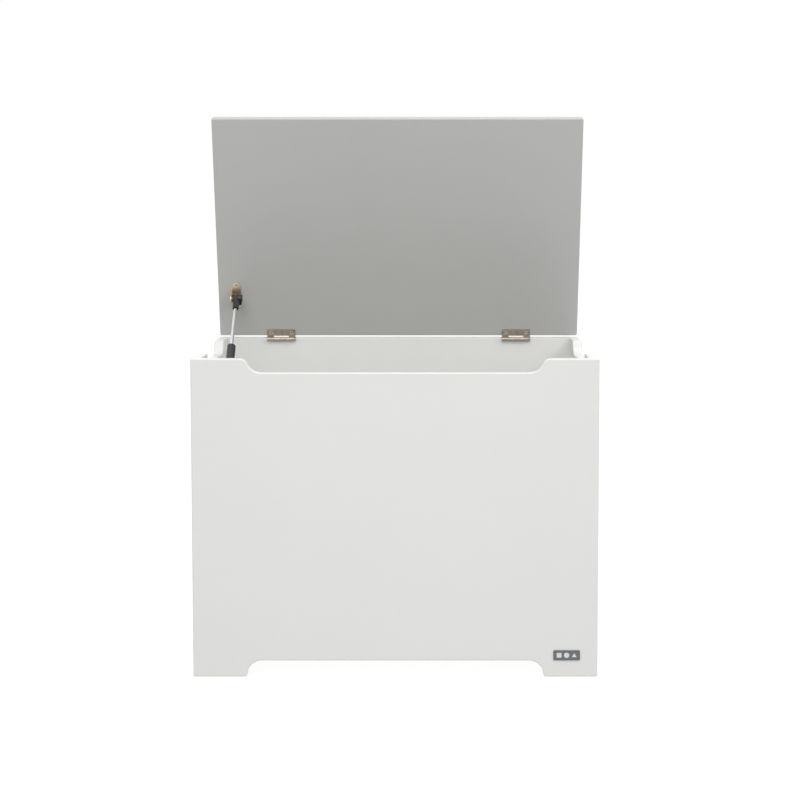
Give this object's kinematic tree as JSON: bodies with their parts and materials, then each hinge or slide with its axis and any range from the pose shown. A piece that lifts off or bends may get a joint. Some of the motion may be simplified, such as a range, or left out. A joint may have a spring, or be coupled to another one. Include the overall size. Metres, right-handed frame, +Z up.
{
  "type": "wooden toy box",
  "caption": "Floor-standing white wooden toy box with scooped rims, arched feet and a grey lid on butt hinges, held open by a gas strut.",
  "frame": {"origin": "on the floor, under the middle of the box's bounding box with the lid open", "axes": "+Z up, the front panel faces -Y, +X to the right as seen from the front"},
  "size_m": [0.64, 0.4094, 0.892],
  "materials": {
    "white_lacquer": "satin white lacquer on fibreboard",
    "grey_lacquer": "satin pale grey lacquer on fibreboard",
    "raw_board": "unpainted softwood",
    "hinge_bronze": "antique bronze plating",
    "black_tube": "satin black powder coat",
    "chromed_rod": "polished hard chrome",
    "black_nylon": "moulded black nylon",
    "yellow_zinc": "yellow zinc plating",
    "brass": "turned brass",
    "bright_zinc": "bright zinc plating",
    "dowel_wood": "plain beech",
    "badge_grey": "satin dark grey plate"
  },
  "bodies": {
    "carcass": {"front_panel": "white_lacquer", "back_panel": "white_lacquer", "left_side_panel": "white_lacquer", "right_side_panel": "white_lacquer", "base_panel": "white_lacquer", "left_base_batten": "raw_board", "right_base_batten": "raw_board", "badge_plate": "badge_grey", "left_hinge_back_leaf": "hinge_bronze", "left_hinge_pin": "hinge_bronze", "right_hinge_back_leaf": "hinge_bronze", "right_hinge_pin": "hinge_bronze", "left_hinge_back_outer_screw": "hinge_bronze", "left_hinge_back_inner_screw": "hinge_bronze", "right_hinge_back_outer_screw": "hinge_bronze", "right_hinge_back_inner_screw": "hinge_bronze", "strut_side_bracket": "yellow_zinc", "strut_side_bracket_lower_screw": "bright_zinc", "strut_side_bracket_upper_screw": "bright_zinc", "front_left_lower_cam_lock": "bright_zinc", "front_left_lower_cam_bolt": "bright_zinc", "front_left_upper_cam_lock": "bright_zinc", "front_left_upper_cam_bolt": "bright_zinc", "front_left_dowel": "dowel_wood", "front_right_lower_cam_lock": "bright_zinc", "front_right_lower_cam_bolt": "bright_zinc", "front_right_upper_cam_lock": "bright_zinc", "front_right_upper_cam_bolt": "bright_zinc", "front_right_dowel": "dowel_wood", "back_left_lower_cam_lock": "bright_zinc", "back_left_lower_cam_bolt": "bright_zinc", "back_left_upper_cam_lock": "bright_zinc", "back_left_upper_cam_bolt": "bright_zinc", "back_left_dowel": "dowel_wood", "back_right_lower_cam_lock": "bright_zinc", "back_right_lower_cam_bolt": "bright_zinc", "back_right_upper_cam_lock": "bright_zinc", "back_right_upper_cam_bolt": "bright_zinc", "back_right_dowel": "dowel_wood"},
    "lid": {"lid_panel": "grey_lacquer", "left_hinge_lid_leaf": "hinge_bronze", "right_hinge_lid_leaf": "hinge_bronze", "left_hinge_lid_outer_screw": "hinge_bronze", "left_hinge_lid_inner_screw": "hinge_bronze", "right_hinge_lid_outer_screw": "hinge_bronze", "right_hinge_lid_inner_screw": "hinge_bronze", "strut_lid_bracket": "yellow_zinc", "strut_lid_ball_stud": "brass", "strut_lid_bracket_upper_screw": "bright_zinc", "strut_lid_bracket_lower_screw": "bright_zinc"},
    "strut_rod": {"strut_rod_end_fitting": "black_nylon", "strut_rod_end_clip": "black_tube", "strut_rod": "chromed_rod", "strut_piston": "black_nylon"},
    "strut_tube": {"strut_tube": "black_tube", "strut_gland": "black_nylon", "strut_tube_end_fitting": "black_nylon", "strut_tube_end_clip": "black_tube", "strut_side_ball_stud": "brass"}
  },
  "joints": [
    {"name": "lid_hinge", "type": "hinge", "parent": "carcass", "child": "lid", "pos_m": [0, 0.1854, 0.503], "axis": [1, 0, 0], "range_deg": [0, 74]},
    {"name": "strut_pivot", "type": "hinge", "parent": "lid", "child": "strut_rod", "pos_m": [-0.283, 0.14674, 0.57722], "axis": [1, 0, 0], "range_deg": [-89.6, 0]},
    {"name": "strut_slide", "type": "slide", "parent": "strut_rod", "child": "strut_tube", "axis": [0, 0.766, 0.6428], "range_m": [0, 0.0865]}
  ],
  "couplings": [
    {"joint": "strut_pivot", "follows": "lid_hinge", "ratio": -1.206},
    {"joint": "strut_slide", "follows": "lid_hinge", "m_per_rad": 0.066629}
  ]
}
